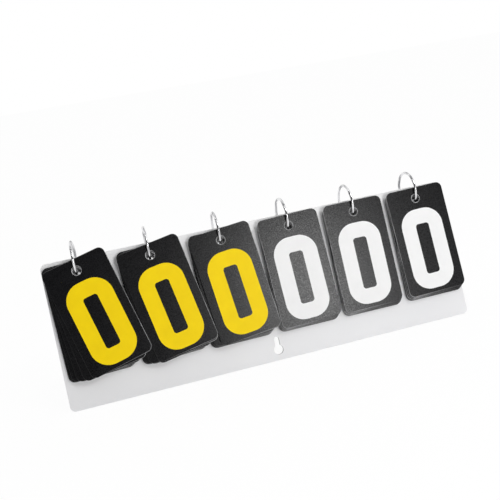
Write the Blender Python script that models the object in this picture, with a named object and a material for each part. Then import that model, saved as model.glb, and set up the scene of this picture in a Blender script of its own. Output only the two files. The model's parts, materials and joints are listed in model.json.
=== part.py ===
"""Tabletop flip scoreboard: two white plates, six rings and six packs of number cards.

The plates stand as an open tent. Six loose-leaf rings pass through both plates near
their top edges, and each ring carries a pack of ten number cards in front of the
front plate. Every ring is centred on one line along X, the ring line. It is the
hinge axis of the tent and of each card that is flipped over the top.

Units are metres, +Z is up, and the fronts of the cards face -Y. The origin lies
under the middle of the whole object, on the surface that it stands on.
"""

import math

import bmesh
import bpy
from mathutils import Matrix, Vector

# General clearance between neighbouring pieces
GAP = 0.0003

# Stand plates
PLATE_LENGTH = 0.3900
PLATE_HEIGHT = 0.1331
PLATE_THICKNESS = 0.0020
PLATE_CORNER = 0.0050
PLATE_HOLE_RADIUS = 0.0030
PLATE_RISE = 0.0013
FRONT_STANDOFF = 0.00495
FOLDED_GAP = 0.0010
TENT_LEAN = math.radians(18.0)

# Keyhole for hanging, cut at the lower middle of each plate
KEYHOLE_RADIUS = 0.0045
KEYHOLE_CENTRE_RISE = 0.0098
NECK_WIDTH = 0.0046
NECK_TOP_RISE = 0.0220

# Loose-leaf rings, with angles from straight down towards the front
RING_RADIUS = 0.0165
WIRE_RADIUS = 0.0012
LATCH_ANGLE = math.radians(120.0)
KNUCKLE_ANGLE = math.radians(300.0)
EYE_RADIUS = 0.00175
EYE_THICKNESS = 0.0007
TONGUE_WIDTH = 0.0014
TONGUE_SINK = 0.0012
RIVET_RADIUS = 0.0004
RIVET_HEAD_RADIUS = 0.0011
RIVET_HEAD_THICKNESS = 0.0003

# Sets from left to right
SET_NAMES = (
    "home_hundreds",
    "home_tens",
    "home_ones",
    "guest_hundreds",
    "guest_tens",
    "guest_ones",
)

# Card packs, spread evenly between the end margins of the plates
END_MARGIN = 0.03125
SET_SHIFT = 0.0005
SET_PITCH = (PLATE_LENGTH - 2.0 * END_MARGIN) / (len(SET_NAMES) - 1)
CARD_SPACING = 0.0065
CARD_HEIGHT = 0.1035
CARD_CORNER = 0.0055
CARD_THICKNESS = 0.0005
CARD_HOLE_RADIUS = 0.0040
CARD_HOLE_DROP = 0.01065
CARD_SIDE_PLAY = 0.0015
CARD_WIDTH = SET_PITCH - CARD_SPACING

# Lean of each front card to the right. The three sets on the left fan out by a share
# of the widest swing that clears the next card.
PLAIN_SWINGS = {
    "guest_hundreds": math.radians(1.8),
    "guest_tens": math.radians(0.3),
    "guest_ones": math.radians(1.4),
}
FAN_SHARES = {
    "home_hundreds": 1.0,
    "home_tens": 1.0,
    "home_ones": 0.95,
}
SIDE_PLAY_SHARES = {
    "home_hundreds": -0.8,
    "home_tens": -0.4,
    "home_ones": 0.0,
    "guest_hundreds": 0.3,
    "guest_tens": 0.2,
    "guest_ones": 0.0,
}

# How much lower than its front card each pack's rear card hangs
PACK_SAGS = {
    "home_hundreds": 0.0014,
    "home_tens": 0.0014,
    "home_ones": 0.0032,
    "guest_hundreds": 0.0038,
    "guest_tens": 0.0042,
    "guest_ones": 0.0042,
}

# Card nodes from the plate forward: name and number of cards in it
LAYERS = (
    ("cards_8_9", 2),
    ("cards_6_7", 2),
    ("cards_4_5", 2),
    ("cards_2_3", 2),
    ("card_1", 1),
    ("card_0", 1),
)
SWING_SHARES = {
    "home_hundreds": (0.16, 0.20, 0.29, 0.47, 0.70, 1.0),
    "home_tens": (0.23, 0.24, 0.30, 0.55, 1.0, 1.0),
    "home_ones": (0.09, 0.14, 0.22, 0.34, 1.0, 1.0),
    "guest_hundreds": (0.25, 0.30, 0.45, 0.70, 1.0, 1.0),
    "guest_tens": (0.40, 0.50, 0.60, 0.80, 1.0, 1.0),
    "guest_ones": (0.25, 0.35, 0.50, 0.75, 1.0, 1.0),
}

# Facets
CORNER_STEPS = 4
HOLE_SIDES = 16
WIRE_SIDES = 8
ARC_STEPS = 18
EYE_STEPS = 10
RIVET_SIDES = 12
SEAT_SAMPLES = 48


def clear_scene():
    """Remove whatever the start-up file holds."""
    for thing in list(bpy.data.objects):
        bpy.data.objects.remove(thing, do_unlink=True)


def make_material(name, colour, roughness, metallic):
    """A Principled material of one colour."""
    material = bpy.data.materials.new(name)
    material.use_nodes = True
    shader = material.node_tree.nodes["Principled BSDF"]
    shader.inputs["Base Color"].default_value = (*colour, 1.0)
    shader.inputs["Roughness"].default_value = roughness
    shader.inputs["Metallic"].default_value = metallic
    return material


def make_empty(name, location, tilt, parent):
    """An empty that carries pieces, turned about X by the tilt."""
    empty = bpy.data.objects.new(name, None)
    empty.location = location
    empty.rotation_euler = (tilt, 0.0, 0.0)
    empty.parent = parent
    bpy.context.collection.objects.link(empty)
    return empty


def make_object(name, mesh, material, parent, location=(0.0, 0.0, 0.0)):
    """A named piece that may share its mesh with others."""
    piece = bpy.data.objects.new(name, mesh)
    if not mesh.materials:
        mesh.materials.append(material)
    piece.parent = parent
    piece.location = location
    bpy.context.collection.objects.link(piece)
    return piece


def mesh_from(bm, name):
    """Turn a bmesh into a mesh whose faces point out."""
    bmesh.ops.recalc_face_normals(bm, faces=bm.faces)
    mesh = bpy.data.meshes.new(name)
    bm.to_mesh(mesh)
    bm.free()
    return mesh


def circle(centre, radius, sides):
    """Points on a circle, as (x, y) pairs."""
    points = []
    for step in range(sides):
        turn = math.tau * step / sides
        points.append((centre[0] + radius * math.cos(turn), centre[1] + radius * math.sin(turn)))
    return points


def arc(centre, radius, start, end, steps):
    """Points on an arc from one angle to the other, both ends included."""
    points = []
    for step in range(steps + 1):
        turn = start + (end - start) * step / steps
        points.append((centre[0] + radius * math.cos(turn), centre[1] + radius * math.sin(turn)))
    return points


def rounded_rectangle(left, right, bottom, top, radius):
    """Outline of a rectangle with round corners, anticlockwise."""
    corners = (
        (right - radius, top - radius),
        (left + radius, top - radius),
        (left + radius, bottom + radius),
        (right - radius, bottom + radius),
    )
    points = []
    for index, corner in enumerate(corners):
        start = index * math.pi / 2.0
        points.extend(arc(corner, radius, start, start + math.pi / 2.0, CORNER_STEPS))
    return points


def sheet(bm, loops, low, high, axes):
    """Add a flat sheet with holes, from its outline and hole loops.

    axes gives the directions of the loops' two coordinates and of the thickness.
    """
    edges = []
    for loop in loops:
        verts = [bm.verts.new(axes[0] * x + axes[1] * y + axes[2] * low) for x, y in loop]
        for index, vert in enumerate(verts):
            edges.append(bm.edges.new((vert, verts[(index + 1) % len(verts)])))
    filled = bmesh.ops.triangle_fill(bm, use_beauty=True, use_dissolve=False, edges=edges)
    faces = [item for item in filled["geom"] if isinstance(item, bmesh.types.BMFace)]
    lifted = bmesh.ops.extrude_face_region(bm, geom=faces, use_keep_orig=True)
    moved = [item for item in lifted["geom"] if isinstance(item, bmesh.types.BMVert)]
    bmesh.ops.translate(bm, verts=moved, vec=axes[2] * (high - low))


BOARD_AXES = (Vector((1.0, 0.0, 0.0)), Vector((0.0, 1.0, 0.0)), Vector((0.0, 0.0, 1.0)))
RING_AXES = (Vector((0.0, 1.0, 0.0)), Vector((0.0, 0.0, 1.0)), Vector((1.0, 0.0, 0.0)))


def set_x(index):
    """X of one ring and its card pack."""
    middle = (len(SET_NAMES) - 1) / 2.0
    return (index - middle) * SET_PITCH + SET_SHIFT


def wire_drop(level):
    """How far below the ring line the wire crosses a sheet at this level."""
    return math.sqrt(RING_RADIUS**2 - level**2)


def seat_offset(hole_radius, level, thickness, side):
    """Distance from the wire's centre to a hole's centre when the wire bears on its rim."""
    slope = math.asin(level / RING_RADIUS)
    across = WIRE_RADIUS
    along = WIRE_RADIUS / math.cos(slope) + thickness / 2.0 * math.tan(slope)
    free = hole_radius * math.cos(math.pi / HOLE_SIDES) - GAP
    offsets = []
    for step in range(SEAT_SAMPLES):
        turn = math.tau * step / SEAT_SAMPLES
        reach = abs(side) + across * math.cos(turn)
        offsets.append(math.sqrt(max(free**2 - reach**2, 0.0)) - along * math.sin(turn))
    return min(offsets)


def widest_swing(next_swing, spacing):
    """Lean at which a card's lower corner just clears the card on its right."""
    half = CARD_WIDTH / 2.0
    aside = half - CARD_CORNER
    below = CARD_HEIGHT - CARD_HOLE_DROP - CARD_CORNER
    room = spacing * math.cos(next_swing) - half - GAP - CARD_CORNER
    reach = math.hypot(aside, below)
    return next_swing + math.atan2(below, aside) - math.acos(min(room / reach, 1.0))


def side_shift(name):
    """How far a pack hangs to the side of its ring."""
    return CARD_SIDE_PLAY * SIDE_PLAY_SHARES[name]


def front_swings():
    """Lean of every front card, worked out from right to left."""
    swings = {}
    for index in reversed(range(len(SET_NAMES))):
        name = SET_NAMES[index]
        if name in PLAIN_SWINGS:
            swings[name] = PLAIN_SWINGS[name]
            continue
        right = SET_NAMES[index + 1]
        spacing = SET_PITCH + side_shift(right) - side_shift(name)
        widest = widest_swing(swings[right], spacing)
        swings[name] = swings[right] + FAN_SHARES[name] * (widest - swings[right])
    return swings


def plate_mesh(name, bottom, back):
    """A stand plate with six ring holes and a keyhole, its back face at the given level."""
    level = back + PLATE_THICKNESS / 2.0
    seat = seat_offset(PLATE_HOLE_RADIUS, level, PLATE_THICKNESS, 0.0)
    hole_y = seat - wire_drop(level)
    half = PLATE_LENGTH / 2.0
    loops = [rounded_rectangle(-half, half, bottom, PLATE_RISE, PLATE_CORNER)]
    for index in range(len(SET_NAMES)):
        loops.append(circle((set_x(index), hole_y), PLATE_HOLE_RADIUS, HOLE_SIDES))
    loops.append(keyhole_outline(bottom))
    bm = bmesh.new()
    sheet(bm, loops, back, back + PLATE_THICKNESS, BOARD_AXES)
    return mesh_from(bm, name)


def keyhole_outline(bottom):
    """Round hole with a narrow neck above it that ends in a half circle."""
    centre = (0.0, bottom + KEYHOLE_CENTRE_RISE)
    half_neck = NECK_WIDTH / 2.0
    opening = math.acos(half_neck / KEYHOLE_RADIUS)
    points = arc(centre, KEYHOLE_RADIUS, math.pi - opening, math.tau + opening, HOLE_SIDES)
    neck_centre = (0.0, bottom + NECK_TOP_RISE - half_neck)
    points.extend(arc(neck_centre, half_neck, 0.0, math.pi, CORNER_STEPS * 2))
    return points


def layer_backs():
    """Level of the back face of every card node, from the plate forward."""
    backs = []
    back = FRONT_STANDOFF + PLATE_THICKNESS + GAP
    for _, count in LAYERS:
        backs.append(back)
        back += count * CARD_THICKNESS + GAP
    return backs


def corner_rise(lean):
    """Height of a leaning card's upper corner above its hole."""
    aside = CARD_WIDTH / 2.0 - CARD_CORNER
    above = CARD_HOLE_DROP - CARD_CORNER
    return aside * math.sin(lean) + above * math.cos(lean) + CARD_CORNER


def hole_heights(set_name, leans):
    """Height of every card node's hole, given each node's lean.

    The front card hangs from the wire. Each card behind hangs a little lower than the
    next, as far as the wire through its hole lets it, and where it can with its upper
    corner clear of the card that flips past it.
    """
    side = side_shift(set_name)
    backs = layer_backs()
    heights = []
    for layer in reversed(range(len(LAYERS))):
        thickness = LAYERS[layer][1] * CARD_THICKNESS
        level = backs[layer] + thickness / 2.0
        seat = seat_offset(CARD_HOLE_RADIUS, level, thickness, side)
        height = -wire_drop(level) - seat
        if heights:
            behind = 1.0 - (level - backs[0]) / (backs[-1] - backs[0])
            wanted = heights[-1] - PACK_SAGS[set_name] * behind
            flip = backs[layer + 1]
            corner_room = math.sqrt(flip**2 - (flip - GAP) ** 2) - GAP - corner_rise(leans[layer])
            height = max(height, min(-wire_drop(level) + seat, wanted, corner_room, heights[0]))
        heights.insert(0, height)
    return heights


def card_mesh(name, set_name, swing, hole_y, back, thickness):
    """One card, or cards lying together, turned about the hole that the ring passes."""
    side = side_shift(set_name)
    half = CARD_WIDTH / 2.0
    bottom = CARD_HOLE_DROP - CARD_HEIGHT
    outline = rounded_rectangle(-half, half, bottom, CARD_HOLE_DROP, CARD_CORNER)
    turn = Matrix.Rotation(swing, 2)
    placed = []
    for loop in (outline, circle((0.0, 0.0), CARD_HOLE_RADIUS, HOLE_SIDES)):
        turned = [turn @ Vector(point) for point in loop]
        placed.append([(point.x + side, point.y + hole_y) for point in turned])
    bm = bmesh.new()
    sheet(bm, placed, back, back + thickness, BOARD_AXES)
    return mesh_from(bm, name)


def ring_point(angle):
    """Place on the ring's centre line, in the board's height and depth."""
    return Vector((0.0, -RING_RADIUS * math.cos(angle), RING_RADIUS * math.sin(angle)))


def wire_mesh(name, start, end):
    """A round wire along the ring from one angle to the other."""
    bm = bmesh.new()
    sections = []
    for step in range(ARC_STEPS + 1):
        angle = start + (end - start) * step / ARC_STEPS
        outward = ring_point(angle).normalized()
        section = []
        for side in range(WIRE_SIDES):
            turn = math.tau * (side + 0.5) / WIRE_SIDES
            offset = RING_AXES[2] * math.cos(turn) + outward * math.sin(turn)
            section.append(bm.verts.new(ring_point(angle) + offset * WIRE_RADIUS))
        sections.append(section)
    for first, second in zip(sections, sections[1:]):
        for side in range(WIRE_SIDES):
            after = (side + 1) % WIRE_SIDES
            bm.faces.new((first[side], first[after], second[after], second[side]))
    bm.faces.new(sections[0])
    bm.faces.new(sections[-1])
    return mesh_from(bm, name)


def eye_mesh(name, low, high, towards):
    """A flat eye round the rivet with a tongue that runs into the wire.

    towards is +1 where the wire leads on by a rising angle, and -1 by a falling one.
    """
    centre = ring_point(KNUCKLE_ANGLE)
    along = ring_point(KNUCKLE_ANGLE + towards * math.pi / 2.0).normalized()
    heading = math.atan2(along.z, along.y)
    half_width = TONGUE_WIDTH / 2.0
    spread = math.asin(half_width / EYE_RADIUS)
    middle = (centre.y, centre.z)
    points = arc(middle, EYE_RADIUS, heading + spread, heading + math.tau - spread, EYE_STEPS)
    reach = EYE_RADIUS + GAP + TONGUE_SINK
    for sign in (-1.0, 1.0):
        x = middle[0] + reach * math.cos(heading) - sign * half_width * math.sin(heading)
        y = middle[1] + reach * math.sin(heading) + sign * half_width * math.cos(heading)
        points.append((x, y))
    bm = bmesh.new()
    hole = circle(middle, RIVET_RADIUS + GAP, RIVET_SIDES)
    sheet(bm, [points, hole], low, high, RING_AXES)
    return mesh_from(bm, name)


def joined_mesh(name, wire, eye):
    """The union of a wire and its eye, as one closed mesh."""
    body = bpy.data.objects.new(name + "_wire", wire)
    tool = bpy.data.objects.new(name + "_eye", eye)
    for thing in (body, tool):
        bpy.context.collection.objects.link(thing)
    union = body.modifiers.new("join_eye", "BOOLEAN")
    union.operation = "UNION"
    union.object = tool
    bpy.context.view_layer.update()
    graph = bpy.context.evaluated_depsgraph_get()
    mesh = bpy.data.meshes.new_from_object(body.evaluated_get(graph))
    mesh.name = name
    for thing in (body, tool):
        bpy.data.objects.remove(thing, do_unlink=True)
    return mesh


def ring_part_mesh(name, towards):
    """Half a ring from its knuckle eye to its latch end."""
    eye_reach = (EYE_RADIUS + GAP) / RING_RADIUS
    latch_gap = GAP / 2.0 / RING_RADIUS
    start = KNUCKLE_ANGLE + towards * eye_reach
    if towards > 0.0:
        end = LATCH_ANGLE + math.tau - latch_gap
        low, high = -GAP / 2.0 - EYE_THICKNESS, -GAP / 2.0
    else:
        end = LATCH_ANGLE + latch_gap
        low, high = GAP / 2.0, GAP / 2.0 + EYE_THICKNESS
    wire = wire_mesh(name + "_wire", start, end)
    eye = eye_mesh(name + "_eye", low, high, towards)
    mesh = joined_mesh(name, wire, eye)
    mesh.transform(Matrix.Translation(-ring_point(KNUCKLE_ANGLE)))
    mesh.shade_smooth()
    mesh.set_sharp_from_angle(angle=math.radians(50.0))
    return mesh


def rivet_mesh(name):
    """The rivet with its two heads, turned about X."""
    inner = GAP / 2.0 + EYE_THICKNESS + GAP
    outer = inner + RIVET_HEAD_THICKNESS
    profile = (
        (-outer, RIVET_HEAD_RADIUS),
        (-inner, RIVET_HEAD_RADIUS),
        (-inner, RIVET_RADIUS),
        (inner, RIVET_RADIUS),
        (inner, RIVET_HEAD_RADIUS),
        (outer, RIVET_HEAD_RADIUS),
    )
    bm = bmesh.new()
    rows = []
    for x, radius in profile:
        rows.append([bm.verts.new((x, y, z)) for y, z in circle((0.0, 0.0), radius, RIVET_SIDES)])
    for first, second in zip(rows, rows[1:]):
        for side in range(RIVET_SIDES):
            after = (side + 1) % RIVET_SIDES
            bm.faces.new((first[side], first[after], second[after], second[side]))
    bm.faces.new(rows[0])
    bm.faces.new(rows[-1])
    mesh = mesh_from(bm, name)
    mesh.shade_smooth()
    mesh.set_sharp_from_angle(angle=math.radians(40.0))
    return mesh


def build_plates(front, rear, material):
    """Both stand plates. The rear one is cut so that both reach the same floor."""
    front_bottom = PLATE_RISE - PLATE_HEIGHT
    rear_back = FRONT_STANDOFF - FOLDED_GAP - PLATE_THICKNESS
    rear_face = rear_back + PLATE_THICKNESS
    foot_gain = (FRONT_STANDOFF + rear_face) * math.tan(TENT_LEAN)
    rear_bottom = front_bottom + foot_gain
    front_mesh = plate_mesh("front_plate", front_bottom, FRONT_STANDOFF)
    make_object("front_plate", front_mesh, material, front)
    rear_mesh = plate_mesh("rear_plate", rear_bottom, rear_back)
    make_object("rear_plate", rear_mesh, material, rear)


def build_cards(front, material):
    """All card nodes of every set, stacked forward from the front plate."""
    swings = front_swings()
    backs = layer_backs()
    for index, set_name in enumerate(SET_NAMES):
        leans = [swings[set_name] * share for share in SWING_SHARES[set_name]]
        heights = hole_heights(set_name, leans)
        for layer, (label, count) in enumerate(LAYERS):
            name = set_name + "_" + label
            thickness = count * CARD_THICKNESS
            mesh = card_mesh(name, set_name, leans[layer], heights[layer], backs[layer], thickness)
            make_object(name, mesh, material, front, (set_x(index), 0.0, 0.0))


def build_rings(front, material):
    """Base half, opening half and rivet of each ring."""
    base = ring_part_mesh("ring_base", 1.0)
    gate = ring_part_mesh("ring_gate", -1.0)
    rivet = rivet_mesh("ring_rivet")
    knuckle = ring_point(KNUCKLE_ANGLE)
    for index, set_name in enumerate(SET_NAMES):
        place = (set_x(index), knuckle.y, knuckle.z)
        make_object(set_name + "_ring_base", base, material, front, place)
        make_object(set_name + "_ring_gate", gate, material, front, place)
        make_object(set_name + "_ring_rivet", rivet, material, front, place)


def stand_on_origin(stand):
    """Move the whole so that the bottom middle of its box is the origin."""
    bpy.context.view_layer.update()
    corners = []
    for piece in bpy.data.objects:
        if piece.type == "MESH":
            corners.extend(piece.matrix_world @ vert.co for vert in piece.data.vertices)
    low = [min(corner[axis] for corner in corners) for axis in range(3)]
    high = [max(corner[axis] for corner in corners) for axis in range(3)]
    stand.location = (-(low[0] + high[0]) / 2.0, -(low[1] + high[1]) / 2.0, -low[2])
    bpy.context.view_layer.update()


def main():
    """Build the scoreboard."""
    clear_scene()
    white = make_material("white_plate_plastic", (0.80, 0.80, 0.79), 0.45, 0.0)
    black = make_material("black_card_plastic", (0.03, 0.03, 0.032), 0.42, 0.0)
    chrome = make_material("chromed_wire", (0.70, 0.70, 0.71), 0.18, 1.0)
    stand = make_empty("stand", (0.0, 0.0, 0.0), 0.0, None)
    front = make_empty("front_frame", (0.0, 0.0, 0.0), math.pi / 2.0 - TENT_LEAN, stand)
    rear = make_empty("rear_frame", (0.0, 0.0, 0.0), math.pi / 2.0 + TENT_LEAN, stand)
    build_plates(front, rear, white)
    build_cards(front, black)
    build_rings(front, chrome)
    stand_on_origin(stand)
    print("ring line at", tuple(front.matrix_world.translation))


main()
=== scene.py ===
"""Looks of the tabletop flip scoreboard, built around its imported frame.

The scoreboard is two white plastic plates that stand as a tent on six loose-leaf rings.
Each ring carries ten black number cards. Units are metres and +Z is up. Most pieces are
drawn on the board: across is +X, up runs up the leaning plate, and out points away from
its face. The ring line, which passes through all the ring centres, is the board's zero.
"""

from __future__ import annotations

import json
import logging
import math
from dataclasses import dataclass, field
from enum import Enum, IntEnum

import bmesh
import bpy
from mathutils import Matrix, Vector


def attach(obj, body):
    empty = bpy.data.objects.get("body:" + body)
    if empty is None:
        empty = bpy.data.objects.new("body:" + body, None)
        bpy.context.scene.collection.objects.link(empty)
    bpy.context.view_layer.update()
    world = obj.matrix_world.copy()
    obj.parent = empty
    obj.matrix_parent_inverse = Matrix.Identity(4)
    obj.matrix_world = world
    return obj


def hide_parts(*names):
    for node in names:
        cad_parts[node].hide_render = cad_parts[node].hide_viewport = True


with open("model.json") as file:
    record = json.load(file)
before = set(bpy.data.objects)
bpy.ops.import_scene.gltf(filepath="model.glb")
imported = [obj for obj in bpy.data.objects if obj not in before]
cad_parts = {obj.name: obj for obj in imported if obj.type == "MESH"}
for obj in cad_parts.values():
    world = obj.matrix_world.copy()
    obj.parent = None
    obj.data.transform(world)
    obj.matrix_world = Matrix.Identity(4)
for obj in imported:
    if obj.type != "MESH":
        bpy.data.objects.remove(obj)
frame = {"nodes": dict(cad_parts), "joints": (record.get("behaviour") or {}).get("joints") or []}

LOG = logging.getLogger("scoreboard")

Point = tuple[float, float]
Loop = list[Point]
Row = tuple[Loop, float]
Corner = tuple[float, float, float]
Place = tuple[float, float, float]
Colour = tuple[float, float, float]
Range = tuple[float, float]
Socket = bpy.types.NodeSocket
Feed = Socket | Vector | tuple[float, ...] | float
Material = bpy.types.Material
Mesh = bpy.types.Mesh
Vert = bmesh.types.BMVert

WHITE = (1.0, 1.0, 1.0, 1.0)

# Each ring's turn in degrees and its place aside in metres, from left to right
RING_HANGINGS = (
    (-4.2, -0.0010),
    (-2.0, -0.0006),
    (-1.4, -0.0002),
    (1.9, -0.0004),
    (2.2, -0.0002),
    (3.0, 0.0),
)


class Side(Enum):
    """Which half of the score a card pack shows."""

    HOME = "home"
    GUEST = "guest"


class Piece(Enum):
    """The slots of the record that the pieces take their finish from."""

    PLATE = "white_plate"
    CARD = "black_card"
    RING = "chrome_wire"
    HOME_PRINT = "yellow_print"
    GUEST_PRINT = "white_print"


class Surface(IntEnum):
    """The places in a sheet's list of finishes."""

    FACE = 0
    EDGE = 1
    BORE = 2
    HOLE_LIP = 3


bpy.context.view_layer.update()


def joint_named(name: str) -> dict:
    """One joint of the frame.

    Args:
        name: the joint's name in the record.

    Returns:
        The record's entry for that joint.
    """
    return next(joint for joint in frame["joints"] if joint["name"] == name)


@dataclass(frozen=True)
class Board:
    """Places on a leaning plate, measured from the line through the ring centres."""

    line: Vector
    lean: float

    @property
    def matrix(self) -> Matrix:
        """From the board's across, up and out to the object's frame."""
        tilt = Matrix.Rotation(math.pi / 2.0 - self.lean, 4, "X")
        return Matrix.Translation(self.line) @ tilt

    def vertices_of(self, node: str) -> list[Vector]:
        """A node's vertices in the board's own directions."""
        back = self.matrix.inverted()
        return [back @ vert.co for vert in frame["nodes"][node].data.vertices]

    def ring_places(self) -> list[float]:
        """Where the rings stand along the board."""
        flips = [joint for joint in frame["joints"] if joint["name"].endswith("_card_0_flip")]
        return sorted(joint["pos_m"][0] - self.line.x for joint in flips)


def extent(values: list[float]) -> Range:
    """The lowest and the highest of some values."""
    return min(values), max(values)


@dataclass(frozen=True)
class Grain:
    """Fine noise that gives a surface its roughness and its relief.

    Attributes:
        scale: cells per metre.
        detail: octaves.
        keep: share kept from one octave to the next.
        rough: roughness where the noise is low, and where it is high.
        strength: how strongly the relief shows.
        height: height of the relief.
    """

    scale: float
    detail: float
    keep: float
    rough: Range
    strength: float
    height: float


class Nodes:
    """Short ways to add nodes to a tree and to join them."""

    def __init__(self, tree: bpy.types.NodeTree) -> None:
        """Work on one tree.

        Args:
            tree: the tree of a material or of the world.
        """
        self.tree = tree

    def feed(self, target: Socket, source: Feed) -> None:
        """Link an input to a socket, or give it a plain value.

        Args:
            target: the input.
            source: the socket or the value.
        """
        if isinstance(source, Socket):
            self.tree.links.new(source, target)
        else:
            target.default_value = source

    def add(self, kind: str, feeds: dict[str | int, Feed], **settings: str) -> bpy.types.Node:
        """Add a node.

        Args:
            kind: the node's type, less its first word.
            feeds: what each of its inputs gets.
            settings: its options.

        Returns:
            The new node.
        """
        node = self.tree.nodes.new("ShaderNode" + kind)
        for name, option in settings.items():
            setattr(node, name, option)
        for label, source in feeds.items():
            self.feed(node.inputs[label], source)
        return node

    def combine(self, operation: str, first: Feed, second: Feed) -> Socket:
        """One value out of two by arithmetic, such as MULTIPLY."""
        return self.add("Math", {0: first, 1: second}, operation=operation).outputs[0]


class MaterialNodes(Nodes):
    """The nodes of a material with a Principled shader."""

    pattern_count = 60.0
    usual_noise = (0.3, 0.7)

    def __init__(self, name: str) -> None:
        """Start a material.

        Args:
            name: the material's name.
        """
        self.material = bpy.data.materials.new(name)
        self.material.use_nodes = True
        super().__init__(self.material.node_tree)
        self.shader = self.tree.nodes["Principled BSDF"]

    @property
    def place(self) -> Socket:
        """The object's own coordinates."""
        return self.add("TexCoord", {}).outputs["Object"]

    def dress(self, label: str, source: Feed) -> None:
        """Feed one of the shader's own inputs."""
        self.feed(self.shader.inputs[label], source)

    def noise(
        self,
        scale: float,
        detail: float,
        keep: float = 0.5,
        own: bool = False,
        drawn: float = 1.0,
    ) -> Socket:
        """Noise in the object's own coordinates.

        Args:
            scale: cells per metre.
            detail: octaves.
            keep: share kept from one octave to the next.
            own: true where every piece has a pattern of its own.
            drawn: cells along y and z for each one along x; below 1 they are long streaks.

        Returns:
            The noise's value.
        """
        place = self.place
        if drawn != 1.0:
            place = self.add("Mapping", {"Vector": place, "Scale": (1.0, drawn, drawn)}).outputs[0]
        feeds = {"Vector": place, "Scale": scale, "Detail": detail, "Roughness": keep}
        if not own:
            return self.add("TexNoise", feeds).outputs["Fac"]
        piece = self.add("ObjectInfo", {}).outputs["Random"]
        feeds["W"] = self.combine("MULTIPLY", piece, self.pattern_count)
        return self.add("TexNoise", feeds, noise_dimensions="4D").outputs["Fac"]

    def spread(self, noise: Socket, low: float = 0.0, high: float = 1.0) -> Socket:
        """Map a noise, whose values mostly lie near its middle, to another range.

        Args:
            noise: the noise.
            low: result at the low end of its usual values.
            high: result at the high end of them.

        Returns:
            The mapped value.
        """
        start, end = self.usual_noise
        feeds = {"Value": noise, "From Min": start, "From Max": end, "To Min": low, "To Max": high}
        return self.add("MapRange", feeds).outputs["Result"]

    def blend(self, share: Socket, first: Colour, second: Colour) -> Socket:
        """Mix two colours, with the second one at a share of 1."""
        feeds = {"Factor": share, "A": (*first, 1.0), "B": (*second, 1.0)}
        return self.add("Mix", feeds, data_type="RGBA").outputs["Result"]

    def tint(self, face: Socket, share: Socket, colour: Colour) -> Socket:
        """Multiply a colour by another, where a share says so."""
        feeds = {"Factor": share, "A": face, "B": (*colour, 1.0)}
        return self.add("Mix", feeds, data_type="RGBA", blend_type="MULTIPLY").outputs["Result"]

    def along(self, axis: str, start: float, end: float) -> Socket:
        """A value that rises from 0 to 1 along one of the object's own axes.

        Args:
            axis: X, Y or Z.
            start: place where it leaves 0.
            end: place where it reaches 1.

        Returns:
            The value.
        """
        split = self.add("SeparateXYZ", {"Vector": self.place})
        feeds = {"Value": split.outputs[axis], "From Min": start, "From Max": end}
        return self.add("MapRange", feeds).outputs["Result"]

    def grained(self, grain: Grain, own: bool = False, drawn: float = 1.0) -> Socket:
        """Give the surface its fine grain.

        Args:
            grain: the grain's sizes.
            own: true where every piece has a grain of its own.
            drawn: as for the noise.

        Returns:
            The grain's noise, for a colour that follows it.
        """
        noise = self.noise(grain.scale, grain.detail, grain.keep, own, drawn)
        self.dress("Roughness", self.spread(noise, *grain.rough))
        feeds = {"Height": noise, "Strength": grain.strength, "Distance": grain.height}
        self.dress("Normal", self.add("Bump", feeds).outputs["Normal"])
        return noise


@dataclass(frozen=True)
class PlatePlastic:
    """White plastic sheet with a faint satin grain, with painted shade below a strip along its top
    edge, so the top looks brightest.
    """

    colour: Colour = (0.985, 0.985, 0.985)
    shade: Colour = (0.95, 0.95, 0.955)
    # Painted shade: below a strip along the top edge the colour is multiplied by this, from one
    # height down to the next
    painted_shade: Colour = (0.87, 0.87, 0.88)
    cloud_scale: float = 9.0
    cloud_detail: float = 3.0
    painted_shade_from: float = -0.002
    painted_shade_to: float = -0.020
    gloss: float = 0.4
    grain: Grain = Grain(
        scale=2600.0, detail=2.0, keep=0.5, rough=(0.36, 0.5), strength=0.25, height=0.00004
    )

    def build(self) -> Material:
        """Make the finish.

        Returns:
            The material.
        """
        nodes = MaterialNodes("white_plastic_sheet")
        clouds = nodes.spread(nodes.noise(self.cloud_scale, self.cloud_detail))
        unshaded = nodes.blend(clouds, self.colour, self.shade)
        # Painted shade: darker from a little below the top edge downwards, so the top strip looks
        # lit
        painted_dark = nodes.along("Y", self.painted_shade_from, self.painted_shade_to)
        nodes.dress("Base Color", nodes.tint(unshaded, painted_dark, self.painted_shade))
        nodes.dress("Specular IOR Level", self.gloss)
        nodes.grained(self.grain)
        return nodes.material


@dataclass(frozen=True)
class CardPlastic:
    """Black plastic card with a fine leathery grain and a satin sheen."""

    colour: Colour = (0.0035, 0.0035, 0.004)
    worn: Colour = (0.008, 0.008, 0.009)
    rub_scale: float = 45.0
    rub_detail: float = 6.0
    rub_keep: float = 0.7
    gloss: float = 0.30
    grain: Grain = Grain(
        scale=760.0, detail=5.0, keep=0.7, rough=(0.22, 0.34), strength=0.5, height=0.00006
    )

    def build(self) -> Material:
        """Make the finish.

        Returns:
            The material.
        """
        nodes = MaterialNodes("black_plastic_card")
        rub = nodes.noise(self.rub_scale, self.rub_detail, self.rub_keep)
        nodes.dress("Base Color", nodes.blend(nodes.spread(rub), self.colour, self.worn))
        nodes.dress("Specular IOR Level", self.gloss)
        nodes.grained(self.grain)
        return nodes.material


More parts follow.
